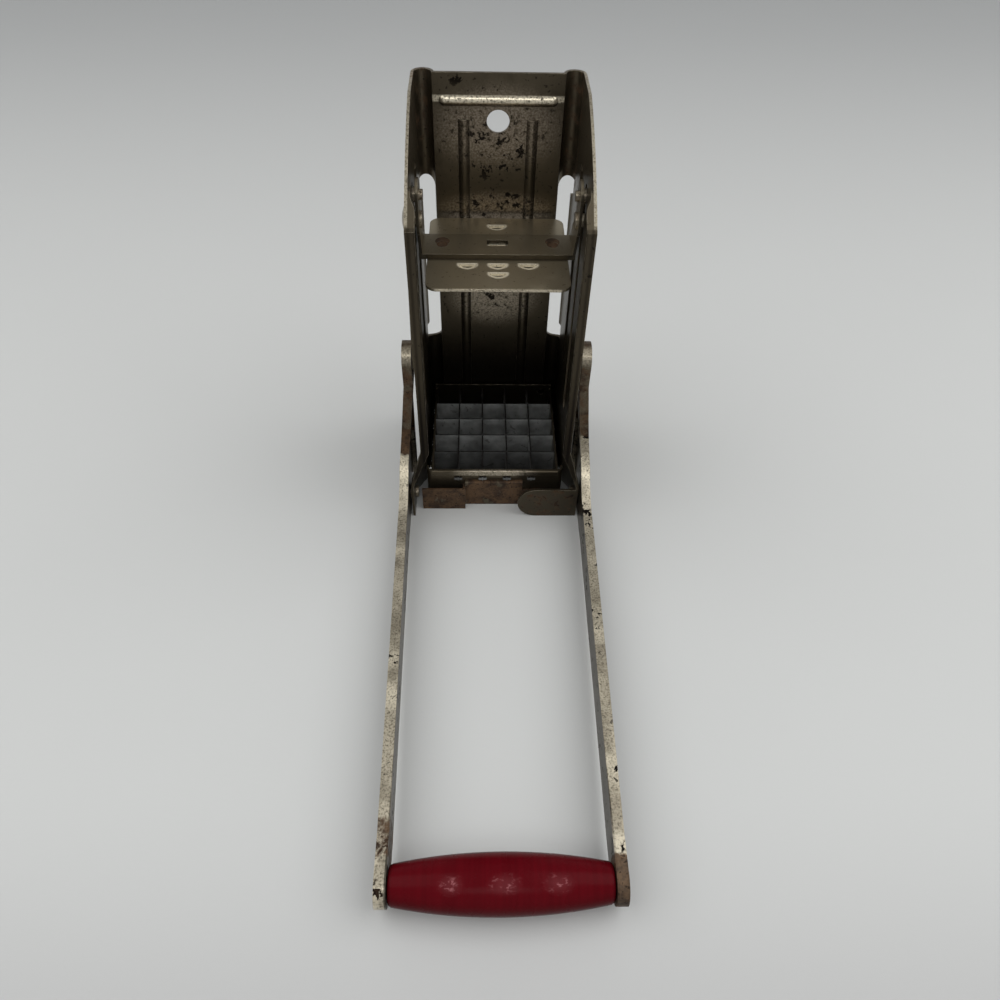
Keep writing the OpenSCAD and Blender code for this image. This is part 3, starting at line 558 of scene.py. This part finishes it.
class FRYCUTTER_OT_pusher(Operator):
    """Smooth tarnished nickel for the pusher plate and its yoke"""
    bl_idname = "frycutter.pusher"
    bl_label = "Pusher"

    def execute(self, context):
        self.dress_plate(context.scene.fry_metal)
        self.dress_yoke(context.scene.fry_metal)
        return {"FINISHED"}

    def dress_plate(self, tint):
        """Even plate with painted highlights on its front edge, on its scoops and through the
        yoke's slot, and painted shadow before the strap.
        """
        plate = Plate("tarnished_pusher", tint, grime=0.2)
        top = node_high("pusher_plate").z
        front = node_low("pusher_plate").y
        strap = node_high("pusher_yoke").y - YOKE_W
        along = plate.axis("Y")
        # Painted shadow on the plate just before the yoke's strap.
        shadow_before_strap = (along.rise(strap - 0.0018, strap)
                        * along.rise(strap + 0.003, strap + 0.002))
        # Painted highlights on the scoops and on the plate seen through the yoke's slot.
        scoop_highlights = [self.scoop_highlight(plate, x, PIVOT_Y + behind, top) for x, behind in SCOOPS]
        slot = plate.near((0, PIVOT_Y + YOKE_SLOT, top), (0.0044, 0.0026, 0.003), 0.2)
        plate.smooth()
        # Painted highlight along the front edge.
        plate.shine(0.8 * along.rise(front + 0.0010, front + 0.0004))
        plate.shade(0.5 * shadow_before_strap)
        plate.glint(highest(slot, *scoop_highlights))
        plate.specks()
        dress(["pusher_plate"], plate.worn(0.8))

    def scoop_highlight(self, plate, x, slit, top):
        """Painted highlight on the bent face of a scoop before its slit."""
        dish = plate.near((x, slit - 0.0002, top - 0.001), (0.0056, 0.0042, 0.0030), 0.2)
        return dish * plate.axis("Y").rise(slit + 0.0012, slit + 0.0008)

    def dress_yoke(self, tint):
        """Even plate with painted shade on its front face and rust round the rivets."""
        plate = Plate("tarnished_yoke", tint, grime=0.2)
        rear = node_high("yoke_rivets").y
        low = node_high("pusher_yoke").z - 0.03
        spots = [plate.near((x, rear, low), (0.0045, 0.0045, 0.04), 0.5)
                 for x in (-YOKE_RIVET_X, YOKE_RIVET_X)]
        plate.smooth(0.63)
        # Painted shade on the strap's front face.
        plate.shade(0.7 * plate.facing((0, -1, 0)).rise(0.5, 0.9))
        plate.specks()
        plate.rust(0.9 * highest(*spots))
        dress(["pusher_yoke"], plate.worn(0.6))


class FRYCUTTER_OT_handle(Operator):
    """Champagne nickel on the arms, brown and rusted along their short legs"""
    bl_idname = "frycutter.handle"
    bl_label = "Arms and links"

    def execute(self, context):
        self.dress_arms(context.scene.fry_metal)
        plate = Plate("link_nickel", context.scene.fry_metal)
        plate.specks()
        dress(LINKS, plate.worn(0.5))
        return {"FINISHED"}

    def dress_arms(self, tint):
        """Each arm is an upright web with a flange along it, and its leg rises past the bend.
        Low on the leg the left arm is burnt brown, where the right one is clean."""
        plate = Plate("handle_nickel", tint, grime=0.7)
        right = plate.axis("X").rise(-0.001, 0.001)
        ragged = plate.axis("Z") + 0.010 * (plate.noise(0.005, 4) - 0.5)
        leg = ragged.rise(0.033, 0.038)
        arm = 1 - leg
        burnt = leg * ragged.rise(0.052, 0.045) * (1 - 0.8 * right)
        clean = right * leg * ragged.rise(0.045, 0.043)
        # Painted highlights at the top of each leg by the elbow and along the bend.
        top = plate.near((0, ELBOW.y - 0.005, ELBOW.z + 0.004), (1, 0.006, 0.006), 0.9)
        bend = plate.near((0, PIVOT_Y - 0.004, 0.030), (1, 0.030, 0.010), 0.7)
        # Painted shade on the inner faces of the webs, and along the fold by the inner edge of
        # each flange.
        web = abs(plate.facing((1, 0, 0))).rise(0.7, 0.95)
        flange = 1 - web
        fold = arm * abs(plate.axis("X")).rise(ARM_IN + 0.0030, ARM_IN + 0.0027)
        # The flange tops are rubbed; shine and glint lay a painted sheen on them as well.
        rubbed = arm * flange * (0.55 + 0.45 * plate.noise(0.012, 3).rise(0.35, 0.60))
        plate.pale(highest(0.2 * leg, 0.3 * web, 0.3 * rubbed))
        plate.shine(highest(0.7 * rubbed + 0.3 * bend * rubbed, 0.45 * top, 0.5 * clean))
        # Dark brown on the burnt legs, painted shade along the folds and on the webs.
        plate.shade(highest(0.35 * burnt, 0.8 * fold * flange, 0.45 * web * arm))
        plate.glint(0.5 * rubbed * plate.noise(0.017, 3).rise(0.45, 0.62))
        plate.specks(1.2 * plate.noise(0.012, 2).rise(0.48, 0.60))
        plate.rust(highest(1.1 * burnt, self.held_ends(plate, right),
                           0.52 * leg * (1 - clean)) * (1 - top))
        dress(ARMS, plate.worn(0.3))

    def held_ends(self, plate, right):
        """Rust on the ends that hold the grip: two spots on the left arm, one on the right."""
        def spot(behind, half_length, fade):
            return plate.near((0, GRIP_FRONT + behind, GRIP_MIDDLE.z),
                              (1, half_length, 0.03), fade)
        left_spots = highest(0.52 * spot(0.026, 0.014, 0.5), 0.43 * spot(0.008, 0.012, 0.5))
        return highest((1 - right) * left_spots, 0.80 * right * spot(0.006, 0.018, 0.4))


class FRYCUTTER_OT_rivets(Operator):
    """Rubbed nickel for pins, studs and rivets; rust for the yoke's rivets"""
    bl_idname = "frycutter.rivets"
    bl_label = "Rivets"

    def execute(self, context):
        self.dress_pins(context.scene.fry_metal)
        self.dress_yoke_rivets(context.scene.fry_metal)
        return {"FINISHED"}

    def dress_pins(self, tint):
        """Pale heads, rubbed bright in places."""
        plate = Plate("rivet_nickel", tint, cover=0.4)
        rubbed = plate.noise(0.003, 3).rise(0.35, 0.65)
        plate.pale(1 - rubbed)
        plate.shine(0.5 * rubbed)
        plate.specks()
        dress(RIVETS, plate.worn(0.6))

    def dress_yoke_rivets(self, tint):
        """Rusted heads with a brighter centre."""
        plate = Plate("rusted_rivets", tint, cover=0.9)
        side = abs(plate.axis("X"))
        centre = (side.rise(YOKE_RIVET_X - 0.0011, YOKE_RIVET_X - 0.0005)
                  * side.rise(YOKE_RIVET_X + 0.0015, YOKE_RIVET_X + 0.0007))
        plate.shine(0.35 * centre)
        plate.specks()
        plate.rust(0.9 * plate.noise(0.002, 3).rise(0.0, 0.3))
        dress(["yoke_rivets"], plate.worn(0.1))


class FRYCUTTER_OT_grip(Operator):
    """Deep red lacquer with fine turning marks, painted shade underneath and three pale ragged
    spots
    """
    bl_idname = "frycutter.grip"
    bl_label = "Grip"

    def execute(self, context):
        tint = context.scene.fry_lacquer
        finish = Finish("red_lacquer")
        rings = finish.noise(0.002, 2, place=finish.stretched((1, 0.02, 0.02)))
        cloud = finish.noise(0.02, 3)
        grain = finish.noise(0.0007, 3, 0.7)
        pale_spotted = self.pale_spots(finish, tint.pale_spot_size)
        # Painted shade on the lower side of the grip.
        underside_shade = finish.axis("Z").rise(GRIP_MIDDLE.z + 0.007, GRIP_MIDDLE.z + 0.001)
        base = finish.blend(rings.rise(0.3, 0.7) * 0.35, tint.lacquer,
                            darkened(tint.lacquer, 0.6))
        base = finish.blend(0.6 * underside_shade, base, darkened(tint.lacquer, 0.45))
        base = finish.blend(pale_spotted, base, tint.pale_spot)
        dress(["grip"], finish.surface(base, 0.22 + 0.10 * cloud + 0.35 * pale_spotted, 0.0,
                                       0.25 * rings + 0.15 * grain - 0.3 * pale_spotted, 0.00008,
                                       Specular_IOR_Level=0.05))
        return {"FINISHED"}

    def pale_spots(self, finish, half_length):
        """Ragged pale places along the top of the grip, towards the front."""
        spots = [finish.near((x, GRIP_MIDDLE.y - 0.003, GRIP_MIDDLE.z + 0.010),
                             (share * half_length, 0.0045, 0.006), 0.95)
                 for x, share in PALE_SPOTS]
        ragged = finish.noise(0.0017, 4, 0.75, place=finish.stretched((0.55, 1, 1)), warp=0.3)
        return highest(*spots) * (0.14 + 0.86 * ragged.rise(0.52, 0.66))


class FRYCUTTER_OT_studio(Operator):
    """Pale table, soft lamps and the camera"""
    bl_idname = "frycutter.studio"
    bl_label = "Studio"

    def execute(self, context):
        settings = context.scene.fry_studio
        self.lay_floor(settings)
        self.light_room(context.scene, settings)
        self.hang_lamps()
        self.aim(context.scene, settings)
        context.scene.view_settings.view_transform = "Standard"
        return {"FINISHED"}

    def lay_floor(self, settings):
        """A table with painted shade: a little darker far behind the cutter and in front of it."""
        corners = [(x * TABLE_HALF, y * TABLE_HALF, 0)
                   for x, y in ((-1, -1), (1, -1), (1, 1), (-1, 1))]
        mesh = bpy.data.meshes.new("table")
        mesh.from_pydata(corners, [], [(0, 1, 2, 3)])
        floor = bpy.data.objects.new("table", mesh)
        bpy.context.collection.objects.link(floor)
        finish = Finish("pale_table")
        mottle = finish.noise(0.09, 3).rise(0.2, 0.8) * 0.05
        # Painted shade on the table, far behind the cutter and in front of the grip.
        base = finish.blend(finish.axis("Y").rise(*TABLE_FAR), settings.floor,
                            settings.far_floor_shade)
        base = finish.blend(finish.axis("Y").rise(*TABLE_NEAR), base, settings.near_floor_shade)
        base = finish.blend(mottle, base, (0.5, 0.5, 0.5))
        mesh.materials.append(finish.surface(base, 0.6, 0.0, finish.noise(0.002, 2), 0.00004))

    def light_room(self, scene, settings):
        """A room that is darker towards its ceiling."""
        world = bpy.data.worlds.new("soft_room")
        room = Shading(world)
        sky = room.node("TexCoord", output="Generated")
        height = room.node("SeparateXYZ", None, {0: sky}, "Z")
        strength = settings.horizon + (settings.zenith - settings.horizon) * height.rise(0.2, 0.95)
        shade = room.node("Background", None, {"Color": colour((1, 1, 1)), "Strength": strength})
        room.node("OutputWorld", None, {"Surface": shade})
        scene.world = world

    def hang_lamps(self):
        """Two large soft lamps at the sides and a small one in front."""
        for name, place, width, watts in LAMPS:
            lamp = bpy.data.lights.new(name, "AREA")
            lamp.shape = "SQUARE"
            lamp.size = width
            lamp.energy = watts
            shown = bpy.data.objects.new(name, lamp)
            bpy.context.collection.objects.link(shown)
            turn = (LAMP_TARGET - Vector(place)).to_track_quat("-Z", "Y").to_matrix().to_4x4()
            shown.matrix_world = Matrix.Translation(place) @ turn

    def aim(self, scene, settings):
        """Puts the camera over the grip, looking down along the handle."""
        sight = Vector((math.sin(settings.yaw) * math.cos(settings.pitch),
                        math.cos(settings.yaw) * math.cos(settings.pitch),
                        -math.sin(settings.pitch)))
        level = Vector((math.cos(settings.yaw), -math.sin(settings.yaw), 0))
        above = level.cross(sight)
        side = math.cos(settings.roll) * level + math.sin(settings.roll) * above
        head = math.cos(settings.roll) * above - math.sin(settings.roll) * level
        turn = Matrix((side, head, -sight)).transposed().to_4x4()
        lens = bpy.data.cameras.new("camera")
        lens.sensor_width = SENSOR_MM
        lens.lens = settings.lens
        lens.clip_start = 0.01
        camera = bpy.data.objects.new("camera", lens)
        bpy.context.collection.objects.link(camera)
        camera.matrix_world = Matrix.Translation(CAMERA_PLACE) @ turn
        scene.camera = camera


class FRYCUTTER_PT_panel(Panel):
    """Lists the finishes and the studio"""
    bl_idname = "FRYCUTTER_PT_panel"
    bl_label = "Fry Cutter"
    bl_space_type = "VIEW_3D"
    bl_region_type = "UI"
    bl_category = "Fry Cutter"

    def draw(self, context):
        for key, group in GROUPS.items():
            box = self.layout.box()
            for name in group.__annotations__:
                box.prop(getattr(context.scene, key), name)
        for operator in OPERATORS:
            self.layout.operator(operator.bl_idname)


OPERATORS = (FRYCUTTER_OT_channel, FRYCUTTER_OT_apron, FRYCUTTER_OT_blades,
             FRYCUTTER_OT_pusher, FRYCUTTER_OT_handle, FRYCUTTER_OT_rivets,
             FRYCUTTER_OT_grip, FRYCUTTER_OT_studio)
CLASSES = (*GROUPS.values(), *OPERATORS, FRYCUTTER_PT_panel)


def register():
    for cls in CLASSES:
        bpy.utils.register_class(cls)
    for key, group in GROUPS.items():
        setattr(bpy.types.Scene, key, PointerProperty(type=group))


def unregister():
    for key in GROUPS:
        delattr(bpy.types.Scene, key)
    for cls in reversed(CLASSES):
        bpy.utils.unregister_class(cls)


def main():
    """Registers the add-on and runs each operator."""
    register()
    for operator in OPERATORS:
        group, name = operator.bl_idname.split(".")
        getattr(getattr(bpy.ops, group), name)()


if __name__ == "__main__":
    main()
